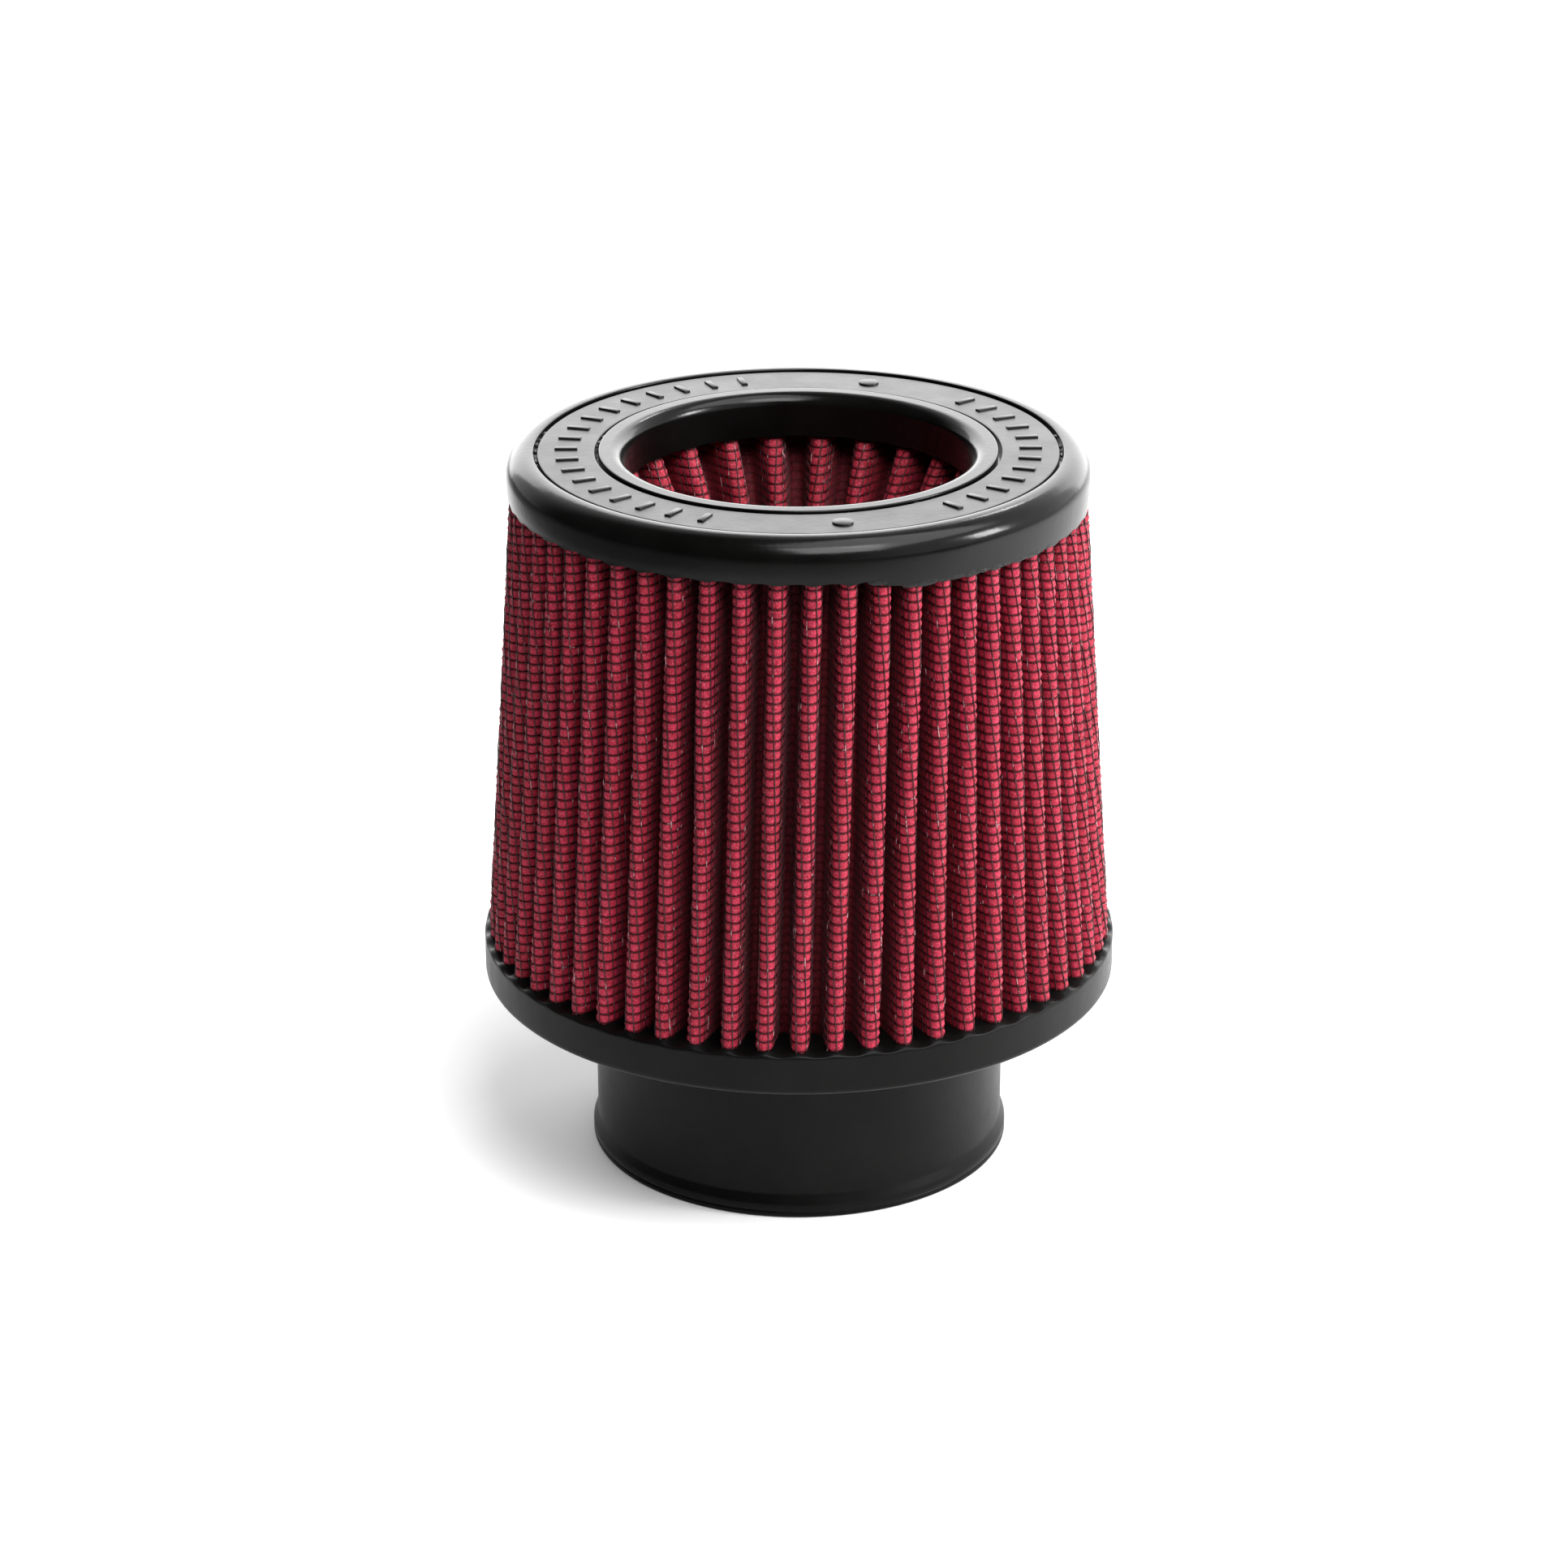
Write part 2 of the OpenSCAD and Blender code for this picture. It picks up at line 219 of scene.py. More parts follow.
class Pleats:
    """The folds of one pleated cone: where its strip runs, and how it strays from true.

    side is 1 where the tips point away from the axis and -1 where they point to it. bends holds
    the radii in millimetres that tips and roots are folded to, at the low end and at the cap.
    """

    def __init__(self, cone, side, bends, z_low, seed, stray, lean=0.0, lean_at=0.0):
        self.count = cone.pleats
        self.side = side
        self.z_low = z_low
        self.z_high = CAP_FOOT
        self.seam_at = cone.seam_at
        self.lean_at = lean_at
        self.rows = [
            (tip, tip - side * cone.depth, tip_bend * MM, root_bend * MM, lean_here)
            for tip, (tip_bend, root_bend), lean_here in zip(
                (cone.tip_low, cone.tip_high), bends, (0.0, lean)
            )
        ]
        draw = np.random.RandomState(seed)
        folds = 2 * cone.pleats
        self.waves = draw.normal(0, 1, (2, len(BOWS), folds)) * BOWS[:, None]
        self.waves *= np.where(np.arange(folds) % 2, stray, stray * ROOT_STRAY)
        self.waves[:, :, 0] = 0

    def fold_at(self, lean, steps):
        """Direction of a fold from the seam, with steps counted from root to tip to root."""
        even = steps * math.pi / self.count
        from_most = even + self.seam_at - self.lean_at
        return even + lean * ((1 + np.cos(from_most)) / 2) ** LEAN_FOCUS

    def section(self, level, u):
        """Middle line and outward normal of the strip at its low end, 0, or its high end, 1.

        Half a pleat is an arc round the tip, a straight flank and an arc round the root. At the
        seam a straight flap stands in for the last arc.
        """
        tip_r, root_r, tip_bend, root_bend, lean = self.rows[level]
        side = self.side
        pleat = np.clip(np.floor(u), 0, self.count - 1)
        from_tip = u - pleat - 0.5
        hand = np.where(from_tip < 0, -1.0, 1.0)
        tip_at = self.fold_at(lean, 2 * pleat + 1)
        turn = np.abs(self.fold_at(lean, 2 * pleat + 1 + hand) - tip_at)
        at_seam = ((pleat == 0) & (hand < 0)) | ((pleat == self.count - 1) & (hand > 0))

        out = spoke(turn)
        tip_centre = tip_r - side * (HALF_WALL + tip_bend)
        root_centre = (root_r + side * (HALF_WALL + root_bend)) * out
        flap_start = (root_r + side * FLAP - 1j * (SEAM_GAP / 2 + HALF_WALL)) * out
        target = np.where(at_seam, flap_start, root_centre)
        end_bend = np.where(at_seam, 0.0, root_bend)
        across = target - tip_centre
        leave = np.angle(across) - side * np.arccos((tip_bend + end_bend) / np.abs(across))
        start = 0.0 if side > 0 else math.pi
        finish = turn + start
        tip_run = tip_bend * np.abs(leave - start)
        flank_run = np.sqrt(np.abs(across) ** 2 - (tip_bend + end_bend) ** 2)
        end_run = np.where(at_seam, FLAP, root_bend * np.abs(finish - leave))
        at = np.clip(2 * np.abs(from_tip), 0, 1) * (tip_run + flank_run + end_run)

        past = np.clip((at - tip_run - flank_run) / end_run, 0, 1)
        tip_out = spoke(start + (leave - start) * np.clip(at / tip_run, 0, 1))
        flank_out = spoke(leave)
        root_out = spoke(leave + (finish - leave) * past)
        flank_from = tip_centre + tip_bend * flank_out
        flank_to = target - end_bend * flank_out
        stretches = [at <= tip_run, at <= tip_run + flank_run, at_seam]
        middles = [
            tip_centre + tip_bend * tip_out,
            flank_from + (flank_to - flank_from) * np.clip((at - tip_run) / flank_run, 0, 1),
            flap_start - side * FLAP * past * out,
        ]
        middle = np.select(stretches, middles, root_centre - root_bend * root_out)
        normal = np.select(stretches, [tip_out, flank_out, 1j * out], root_out)
        turned = spoke(tip_at + self.seam_at)
        return [(v.real + 1j * hand * v.imag) * turned for v in (middle, normal)]

    def stray(self, u, height):
        """How far the strip bows sideways and inwards, blended between the folds' own bows."""
        folds = 2 * self.count
        line = (2 * u) % folds
        before = np.floor(line).astype(int) % folds
        after = (before + 1) % folds
        blend = smooth(line - np.floor(line))
        waves = self.waves[:, :, before] * (1 - blend) + self.waves[:, :, after] * blend
        bows = np.sin(np.arange(1, len(BOWS) + 1)[:, None] * math.pi * height)
        return (bows * waves).sum(1)

    def place(self, u, z, d):
        """Points of the strip in the frame, from arrays of one length."""
        height = np.clip((z - self.z_low) / (self.z_high - self.z_low), 0, 1)
        low, low_normal = self.section(0, u)
        high, high_normal = self.section(1, u)
        xy = (low + d * low_normal) * (1 - height) + (high + d * high_normal) * height
        sideways, inwards = self.stray(u, height)
        xy += (1j * sideways - 0.5 * np.abs(inwards)) * xy / np.abs(xy)
        return np.column_stack([xy.real, xy.imag, z])


class Weave:
    """The lattice of wires on a pleated strip: column k is an upright wire, row r a level one."""

    def __init__(self, pleats, cone):
        self.pleats = pleats
        self.cells = cone.cells
        self.columns = cone.cells * pleats.count
        self.drift = cone.drift
        self.low = pleats.z_low - CAST_IN
        self.high = pleats.z_high + CAST_IN
        slope = math.hypot(cone.tip_high - cone.tip_low, pleats.z_high - pleats.z_low)
        self.rows = round((slope + 2 * CAST_IN) / sizes().mesh.pitch)

    def shift(self, column):
        """Cells that an upright wire wanders: least in front and not at all at the seam."""
        azimuth = self.pleats.seam_at + FULL_TURN * column / self.columns
        from_calm = (azimuth - CALM_AT + math.pi) % FULL_TURN - math.pi
        calm = np.exp(-((from_calm / CALM_WIDTH) ** 2))
        from_end = np.minimum(column, self.columns - column) / (SEAM_PLEATS * self.cells)
        return self.drift * (1 - CALM_SHARE * calm) * smooth(np.clip(from_end, 0, 1))

    def along(self, column, row):
        """Pleat coordinate of a place on the lattice."""
        return (column - self.shift(column) * (row / self.rows - 0.5)) / self.cells

    def column_of(self, u, row):
        """The column at a pleat coordinate, in rounds because its shift depends on it."""
        column = u * self.cells
        for _ in range(4):
            column = u * self.cells + self.shift(column) * (row / self.rows - 0.5)
        return column

    def place(self, column, row, d):
        """Points in the frame, from arrays of one length."""
        z = self.low + (self.high - self.low) * row / self.rows
        return self.pleats.place(self.along(column, row), z, d)


def outer_pleats():
    cone = sizes().outer
    bends = ((1.05, 1.5), (1.05, 1.25))
    return Pleats(cone, 1, bends, RIM_TOP, 11, 0.13 * MM, lean=cone.lean, lean_at=cone.lean_at)


def inner_pleats():
    bends = ((1.0, 1.35), (1.35, 2.2))
    return Pleats(sizes().inner, -1, bends, PLUG_TOP, 12, 0.16 * MM)


def weaves():
    """The lattice of each cone, by the word that its pieces' names start with."""
    return {
        "outer": Weave(outer_pleats(), sizes().outer),
        "inner": Weave(inner_pleats(), sizes().inner),
    }


# Meshes

LONG_RUN = 1.5 * MM
RUN_END = 0.25 * MM
STEPS_PER_PLEAT = 7
RING_STEPS = 256
PLUG_STEPS = 144
ROOT_CELLS = 2.5
GRID_END = 0.9999
WIRE_SIDES = 3


def show(name, data):
    """Puts data in the scene as an object."""
    thing = bpy.data.objects.new(name, data)
    bpy.context.scene.collection.objects.link(thing)
    return thing


def as_mesh(bm, name):
    mesh = bpy.data.meshes.new(name)
    bm.to_mesh(mesh)
    bm.free()
    return mesh


def finish_piece(mesh, nodes, material, edge_angle=None):
    """Puts a mesh in the scene as a piece that stands for the given CAD nodes."""
    if not mesh.polygons:
        raise RuntimeError(f"{mesh.name} has no faces")
    mesh.polygons.foreach_set("use_smooth", [True] * len(mesh.polygons))
    if edge_angle is not None:
        mesh.set_sharp_from_angle(angle=edge_angle)
    mesh.materials.append(material)
    mesh.update()
    piece = show(mesh.name, mesh)
    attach(piece, BODY)
    if nodes:
        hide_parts(*nodes)


def coordinates(mesh):
    co = np.empty(len(mesh.vertices) * 3)
    mesh.vertices.foreach_get("co", co)
    return co.reshape(-1, 3)


def move_to(mesh, co):
    mesh.vertices.foreach_set("co", co.ravel())
    mesh.update()


def around(azimuth, r, z, scale=(1.0, 1.0, 1.0)):
    """Matrix that sets a shape down in a direction from the axis, facing outwards."""
    place = Matrix.Rotation(azimuth, 4, "Z") @ Matrix.Translation((r, 0, z))
    return place @ Matrix.Diagonal((*scale, 1.0))


def arc(r, z, radius, start, end, steps):
    """Points (r, z) of a profile's arc, with its angles in degrees."""
    angles = np.radians(np.linspace(start, end, steps + 1))
    return [(r + radius * math.cos(a), z + radius * math.sin(a)) for a in angles]


def held(profile):
    """The profile with a point near both ends of each long straight run, which keeps it flat."""
    points = []
    for (r, z), (next_r, next_z) in zip(profile, profile[1:] + profile[:1]):
        points.append((r, z))
        run = math.hypot(next_r - r, next_z - z)
        if run > LONG_RUN:
            for share in (RUN_END / run, 1 - RUN_END / run):
                points.append((r + (next_r - r) * share, z + (next_z - z) * share))
    return points


def turned(profile, steps):
    """A closed profile of (r, z) points turned round the filter's axis."""
    bm = bmesh.new()
    verts = [bm.verts.new((r, 0, z)) for r, z in held(profile)]
    for a, b in zip(verts, verts[1:] + verts[:1]):
        bm.edges.new((a, b))
    line = bm.verts[:] + bm.edges[:]
    bmesh.ops.spin(bm, geom=line, axis=(0, 0, 1), angle=FULL_TURN, steps=steps, use_merge=True)
    bmesh.ops.remove_doubles(bm, verts=bm.verts[:], dist=TINY)
    bmesh.ops.recalc_face_normals(bm, faces=bm.faces[:])
    return bm


def fold_lines(weave, first, last):
    """Columns to fold some pleats at: each wire, and halfway between wires but in the roots."""
    columns = np.arange(2 * first * weave.cells, 2 * last * weave.cells + 1) / 2
    pleat = columns / weave.cells
    from_root = np.abs(pleat - np.rint(pleat)) * weave.cells
    return columns[(columns % 1 == 0) | (from_root > ROOT_CELLS)]


def folded_sheet(name, weave, columns, rows, front, back):
    """A closed sheet of the pleated strip: a grid folded along the pleats, wrapped to its back.

    rows holds the rows of faces in front and at the back. front gives the front face's distance
    from the middle for arrays of columns and rows, and back is the back face's distance.
    """
    rows, back_rows = rows
    gaps = len(columns) - 1
    up = np.linspace(0, weave.rows, rows + 1)
    down = np.linspace(weave.rows, 0, back_rows + 1)
    steps = rows + 1 + back_rows
    bm = bmesh.new()
    bmesh.ops.create_grid(bm, x_segments=gaps, y_segments=steps, size=1.0)
    open_edges = [e for e in bm.edges if e.is_boundary]
    rims = [e for e in open_edges if all(abs(v.co.y) > GRID_END for v in e.verts)]
    bmesh.ops.bridge_loops(bm, edges=rims)
    bmesh.ops.holes_fill(bm, edges=[e for e in bm.edges if e.is_boundary], sides=0)
    mesh = as_mesh(bm, name)

    co = coordinates(mesh)
    column = columns[np.rint((co[:, 0] + 1) / 2 * gaps).astype(int)]
    step = np.rint((co[:, 1] + 1) / 2 * steps).astype(int)
    row = np.concatenate([up, down])[step]
    d = np.where(step <= rows, front(column, row), back)
    move_to(mesh, weave.place(column, row, d))

    corners = np.empty(len(mesh.loops), dtype=int)
    mesh.loops.foreach_get("vertex_index", corners)
    cells = mesh.uv_layers.new(name="Weave")
    cells.data.foreach_set("uv", np.column_stack([column, row])[corners].ravel())
    u = weave.along(column, row)
    depth = mesh.attributes.new("Depth", "FLOAT", "POINT")
    depth.data.foreach_set("value", 2 * np.abs(u - np.floor(u) - 0.5))
    if weave.pleats.side < 0:
        mesh.flip_normals()
    return mesh


def curve_object(name, runs, cyclic=False):
    """A curve in the scene with one straight-sided spline for each run of points."""
    curve = bpy.data.curves.new(name, "CURVE")
    curve.dimensions = "3D"
    for run in runs:
        spline = curve.splines.new("POLY")
        spline.points.add(len(run) - 1)
        spline.points.foreach_set("co", np.column_stack([run, np.ones(len(run))]).ravel())
        spline.use_cyclic_u = cyclic
    return show(name, curve)


def wires(name, runs, radius):
    """A mesh of thin wires, each a curve with a three-sided section and closed ends."""
    corners = radius * spoke(FULL_TURN * np.arange(WIRE_SIDES) / WIRE_SIDES)
    ring = np.column_stack([corners.real, corners.imag, np.zeros(WIRE_SIDES)])
    section = curve_object(name + "_section", [ring], cyclic=True)
    holder = curve_object(name, runs)
    holder.data.bevel_mode = "OBJECT"
    holder.data.bevel_object = section
    holder.data.use_fill_caps = True
    view = bpy.context.evaluated_depsgraph_get()
    mesh = bpy.data.meshes.new_from_object(holder.evaluated_get(view), depsgraph=view)
    mesh.name = name
    for thing in (holder, section):
        bpy.data.curves.remove(thing.data)
    return mesh


# Share of its swelling that the gauze keeps, by whether an upright and a level wire lie on it.
SWELLING = np.array([[1.0, 0.14], [0.36, 0.0]])
UNEVEN = (0.72, 1.12)


def pillow_front(weave, seed):
    """Distance of the gauze's face from the wall's middle: low under wires, swollen in cells."""
    pillow = sizes().mesh.pillow
    draw = np.random.RandomState(seed)
    uneven = pillow * draw.uniform(*UNEVEN, (weave.columns + 1, weave.rows + 1))

    def front(column, row):
        under_upright, under_level = [
            (np.abs(np.sin(math.pi * line)) < 0.5).astype(int) for line in (column, row)
        ]
        i = np.clip(np.floor(column).astype(int), 0, weave.columns)
        j = np.clip(np.floor(row).astype(int), 0, weave.rows)
        return GAUZE_UNDER_WIRE + SWELLING[under_upright, under_level] * uneven[i, j]

    return front


def backing_front(column, row):
    return np.full(len(column), BACKING_FRONT)


BENDS_SAVE = 0.2 * MM
LEVEL_STEPS = np.array([-1, -0.62, -0.36, -0.17, 0, 0.17, 0.36, 0.62, 1])
UPRIGHT_REACH = 0.84
FEWEST_POINTS = 3


def wire_reach(pleats):
    """The share of a pleat, to each side of its tip, that shows wires."""
    tip_r, root_r = pleats.rows[0][:2]
    pleat_run = 2 * (abs(tip_r - root_r) - BENDS_SAVE)
    return sizes().mesh.reach / pleat_run


def level_wires(weave):
    """Runs of the level wires over every tip, one for each tip and row."""
    mesh = sizes().mesh
    rows = np.arange(1, weave.rows)
    tips = np.arange(weave.pleats.count) + 0.5
    tip, row, step = [a.ravel() for a in np.meshgrid(tips, rows, LEVEL_STEPS, indexing="ij")]
    column = weave.column_of(tip, row) + step * wire_reach(weave.pleats) * weave.cells
    d = mesh.level + mesh.crimp * np.cos(math.pi * (column + row))
    d = np.where(np.abs(step) == 1, WIRE_END, d)
    return weave.place(column, row, d).reshape(-1, len(LEVEL_STEPS), 3)


def upright_wires(weave):
    """Runs of the upright wires, each where it is near a tip."""
    mesh = sizes().mesh
    reach = UPRIGHT_REACH * wire_reach(weave.pleats)
    rows = np.arange(weave.rows + 1.0)
    runs = []
    for k in range(1, weave.columns):
        column = np.full(len(rows), float(k))
        u = weave.along(column, rows)
        shown = np.abs(u - np.floor(u) - 0.5) < reach
        d = mesh.level - mesh.crimp * np.cos(math.pi * (column + rows))
        points = weave.place(column, rows, d)
        ends = np.flatnonzero(np.diff(np.concatenate([[0], shown.astype(int), [0]])))
        for first, last in zip(ends[::2], ends[1::2]):
            if last - first >= FEWEST_POINTS:
                runs.append(points[first:last])
    return runs


# Cast urethane. It creeps up the pleats that stand in it, and the cap's foot isn't level.

CREEP_REACH = 0.7 * MM
CREEP_LIMIT = 2 * MM
CREEP_WAVES = (9, 23, 51, 97, 151)
WAVE_SHARE = 0.25
RAGGED_SHARE = 0.45
SAMPLES_PER_PLEAT = 30
BATCH = 2000

PARTING = 47.0 * MM
SAG_STEP = math.radians(8)
SAG_FADE = math.radians(60)


def wall_distance(pleats, level, points):
    """Distance of points in the plane from the pleated wall's faces at one end of it."""
    u = np.linspace(0, pleats.count, pleats.count * SAMPLES_PER_PLEAT + 1)
    middle, _ = pleats.section(level, u)
    nearest = np.empty(len(points))
    for start in range(0, len(points), BATCH):
        some = points[start : start + BATCH, None]
        nearest[start : start + BATCH] = np.abs(some - middle).min(1)
    return np.clip(nearest - HALF_WALL, 0, None)


def on_plane(co):
    return co[:, 0] + 1j * co[:, 1]


def creep(mesh, pleats, level, limit, radii, height, seed):
    """Moves a urethane face along the pleats cast into it, up at their low end, 0, or down at 1.

    The face's vertices lie past the height of limit and between two radii.
    """
    way = (1, -1)[level]
    co = coordinates(mesh)
    r = np.abs(on_plane(co))
    picked = (way * co[:, 2] > way * limit) & (r > radii[0]) & (r < radii[1])
    points = on_plane(co[picked])
    draw = np.random.RandomState(seed)
    ragged = np.zeros(len(points))
    for waves in CREEP_WAVES:
        ragged += WAVE_SHARE * np.sin(waves * np.angle(points) + draw.uniform(0, FULL_TURN))
    gap = wall_distance(pleats, level, points)
    rise = height * np.exp(-gap / CREEP_REACH) * (1 + RAGGED_SHARE * ragged)
    co[picked, 2] += way * np.clip(rise, 0, CREEP_LIMIT)
    move_to(mesh, co)


def foot_drop(azimuth):
    """How far below its true height the cap's foot hangs in a direction."""
    ends = sizes().ends
    start = smooth(np.clip((azimuth - ends.sag_from) / SAG_STEP + 0.5, 0, 1))
    end = smooth(np.clip((ends.sag_to - azimuth) / SAG_FADE + 0.5, 0, 1))
    return (ends.foot_rise + ends.foot_sag) * start * end - ends.foot_rise


# Materials


class Nodes:
    """A short way to write the node tree of a material or a world."""

    def __init__(self, owner, shader="Principled BSDF", place="Object"):
        self.owner = owner
        owner.use_nodes = True
        self.tree = owner.node_tree
        self.shader = self.tree.nodes[shader]
        self.place = self.add("ShaderNodeTexCoord").outputs[place]

    def put(self, node, **inputs):
        """Links or sets inputs by name, with spaces as underlines, or by number, as in _0."""
        for key, value in inputs.items():
            number = key[1:]
            socket = node.inputs[int(number) if number.isdigit() else key.replace("_", " ")]
            if isinstance(value, NodeSocket):
                self.tree.links.new(value, socket)
            elif socket.type == "RGBA":
                socket.default_value = (*value, 1.0)
            else:
                socket.default_value = value
        return node

    def set(self, **inputs):
        self.put(self.shader, **inputs)

    def add(self, kind, settings=(), **inputs):
        node = self.tree.nodes.new(kind)
        for key, value in dict(settings).items():
            setattr(node, key, value)
        return self.put(node, **inputs)

    def math(self, operation, a, b=0.0):
        return self.add("ShaderNodeMath", {"operation": operation}, _0=a, _1=b).outputs[0]

    def mix(self, share, a, b):
        """A colour between a and b."""
        return self.add("ShaderNodeMix", {"data_type": "RGBA"}, _0=share, _6=a, _7=b).outputs[2]

    def span(self, value, ends, results, blend="LINEAR"):
        """Results for a value at the two ends, and what lies between them."""
        node = self.add("ShaderNodeMapRange", {"interpolation_type": blend}, Value=value)
        self.put(node, From_Min=ends[0], From_Max=ends[1], To_Min=results[0], To_Max=results[1])
        return node.outputs[0]

    def noise(self, scale, detail=2.0, roughness=0.5, place=None):
        node = self.add("ShaderNodeTexNoise", Vector=self.place if place is None else place)
        return self.put(node, Scale=scale, Detail=detail, Roughness=roughness).outputs["Fac"]

    def bump(self, height, strength, distance, **under):
        """A normal for a height, on top of the Normal given, if any."""
        node = self.add("ShaderNodeBump", Height=height, Strength=strength, Distance=distance)
        return self.put(node, **under).outputs[0]

    def split(self, vector):
        return self.add("ShaderNodeSeparateXYZ", Vector=vector).outputs[:2]

    def weave(self):
        """The strip's own coordinates: across the columns and up the rows."""
        return self.add("ShaderNodeUVMap", {"uv_map": "Weave"}).outputs[0]

    def from_wire(self, value):
        """Distance from the nearest wire, in cells."""
        return self.math("PINGPONG", value, 0.5)


def new_material(name):
    return Nodes(bpy.data.materials.new(name))


def urethane(slot, part, gloss, grain, ior):
    """Cast urethane: satin, faintly mottled, with fine grain and handling marks."""
    finishes = sizes().finishes
    tone = finishes.band if slot == "band_urethane" else finishes.urethane
    nodes = new_material(f"{slot}_{part}")
    mottle = nodes.noise(55.0, 3.0)
    smear = nodes.noise(160.0, 4.0, 0.6)
    pale = [1.5 * c + 0.0012 for c in tone]
    rough = nodes.bump(nodes.noise(900.0), grain, 0.05 * MM)
    nodes.set(
        Base_Color=nodes.mix(nodes.span(mottle, (0.42, 0.72), (0, 1)), tone, pale),
        Roughness=nodes.span(smear, (0.3, 0.75), (gloss - 0.03, gloss + 0.05)),
        IOR=ior,
        Sheen_Weight=0.04,
        Sheen_Roughness=0.25,
        Normal=nodes.bump(mottle, 0.15, 0.35 * MM, Normal=rough),
    )
    return nodes.owner


def gauze_cloth(name, oil_and_shade):
    """Oiled cotton gauze: its own fine weave, a tint for every cell, painted shade in the roots,
    painted wire shadows with dark wire lines along the wires, and pale fibres with a painted sheen
    on the crests.
    """
    finishes = sizes().finishes
    deep = finishes.gauze_oil_and_shade
    blot = [0.5 * c for c in deep]
    # dark is the painted shade of the roots and the wires, and the dark between the threads.
    dark = [0.16 * c for c in deep]
    nodes = new_material(name)
    weave = nodes.weave()
    column, row = nodes.split(weave)

    # The oil colour is patchy oil, and on the inner cone, with its larger share, painted shade as
    # well.
    oil = nodes.span(nodes.noise(90.0, 3.0), (0.35, 0.7), (oil_and_shade - 0.5, oil_and_shade))
    body = nodes.mix(oil, finishes.gauze, deep)
    cell = nodes.add("ShaderNodeVectorMath", {"operation": "FLOOR"}, _0=weave).outputs[0]
    tint = nodes.add("ShaderNodeTexWhiteNoise", {"noise_dimensions": "2D"}, Vector=cell).outputs[0]
    body = nodes.mix(nodes.span(tint, (0, 1), (0, 0.6)), body, deep)
    blots = nodes.noise(1300.0, 3.0, 0.65)
    body = nodes.mix(nodes.span(blots, (0.42, 0.68), (0, 0.75)), body, blot)
    # Painted shade: the gauze darkens from the tips towards the roots of the pleats.
    depth = nodes.add("ShaderNodeAttribute", {"attribute_name": "Depth"}).outputs["Fac"]
    body = nodes.mix(nodes.span(depth, (0.16, 0.6), (0, 0.85)), body, dark)
    threads = nodes.math(
        "ADD",
        nodes.math("SINE", nodes.math("MULTIPLY", column, 6 * FULL_TURN)),
        nodes.math("SINE", nodes.math("MULTIPLY", row, 8 * FULL_TURN)),
    )
    body = nodes.mix(nodes.span(threads, (-2, 0.6), (0.35, 0)), body, dark)
    # Pale fibres, strongest on the crests, where they are also a painted sheen.
    fibres = nodes.span(nodes.noise(2900.0, 3.0, 0.6), (0.45, 0.72), (0, 0.55))
    crest_sheen_share = nodes.span(depth, (0.02, 0.3), (1, 0.25))
    body = nodes.mix(nodes.math("MULTIPLY", fibres, crest_sheen_share), body, finishes.fibre_and_sheen)

    # Painted shade along the wires: painted wire shadows, and dark lines that also draw the wires
    # deep in the pleats, where no wires are built.
    near_row = nodes.span(nodes.from_wire(row), (0.05, 0.24), (0.92, 0))
    near_column = nodes.span(nodes.from_wire(column), (0.05, 0.18), (0.5, 0))
    fuzz = nodes.noise(2600.0)
    cloth = nodes.bump(threads, 0.35, 0.05 * MM)
    nodes.set(
        Base_Color=nodes.mix(nodes.math("MAXIMUM", near_row, near_column), body, dark),
        Roughness=nodes.span(fuzz, (0.3, 0.7), (0.42, 0.68)),
        Sheen_Weight=0.03,
        Sheen_Roughness=0.4,
        IOR=1.26,
        Normal=nodes.bump(fuzz, 0.6, 0.12 * MM, Normal=cloth),
    )
    return nodes.owner


def coated_wire(name, glint_and_worn_from, ior):
    """Wire with a dark, glossy coat, thin in spots: pale spots of wear that are also painted
    glints.
    """
    finishes = sizes().finishes
    nodes = new_material(name)
    worn_and_glint = nodes.span(nodes.noise(420.0, 3.0, 0.6), (glint_and_worn_from, glint_and_worn_from + 0.08), (0, 1))
    nodes.set(
        Base_Color=nodes.mix(worn_and_glint, finishes.wire, finishes.wire_worn_and_glint),
        Roughness=nodes.span(worn_and_glint, (0, 1), (0.4, 0.3)),
        IOR=ior,
        Normal=nodes.bump(nodes.noise(1800.0), 0.3, 0.05 * MM),
    )
    return nodes.owner


def screen_over_gauze(name):
    """The clean side: bare wires over gauze, both read from the strip's own cells."""
    finishes = sizes().finishes
    nodes = new_material(name)
    column, row = nodes.split(nodes.weave())
    nearest = nodes.math("MINIMUM", nodes.from_wire(column), nodes.from_wire(row))
    wire = nodes.span(nearest, (0.09, 0.13), (1, 0))
    cloth = nodes.mix(nodes.noise(120.0, 3.0), finishes.gauze, finishes.gauze_oil_and_shade)
    nodes.set(
        Base_Color=nodes.mix(wire, cloth, finishes.bare_wire),
        Roughness=nodes.span(wire, (0, 1), (0.6, 0.3)),
        Metallic=wire,
        Normal=nodes.bump(nodes.math("SUBTRACT", 0.5, nearest), 0.8, 0.3 * MM),
    )
    return nodes.owner


def clip_metal(name):
    """Brushed sheet steel with fine drawing lines and dull smears."""
    metal = sizes().finishes.clip
    dull = [0.6 * c for c in metal]
    nodes = new_material(name)
    drawn = nodes.add("ShaderNodeMapping", Vector=nodes.place, Scale=(1.0, 1.0, 0.03)).outputs[0]
    lines = nodes.noise(4000.0, 3.0, place=drawn)
    nodes.set(
        Base_Color=nodes.mix(nodes.noise(200.0, 3.0), metal, dull),
        Metallic=1.0,
        Roughness=nodes.span(lines, (0.3, 0.7), (0.28, 0.46)),
        Normal=nodes.bump(lines, 0.2, 0.03 * MM),
    )
    return nodes.owner


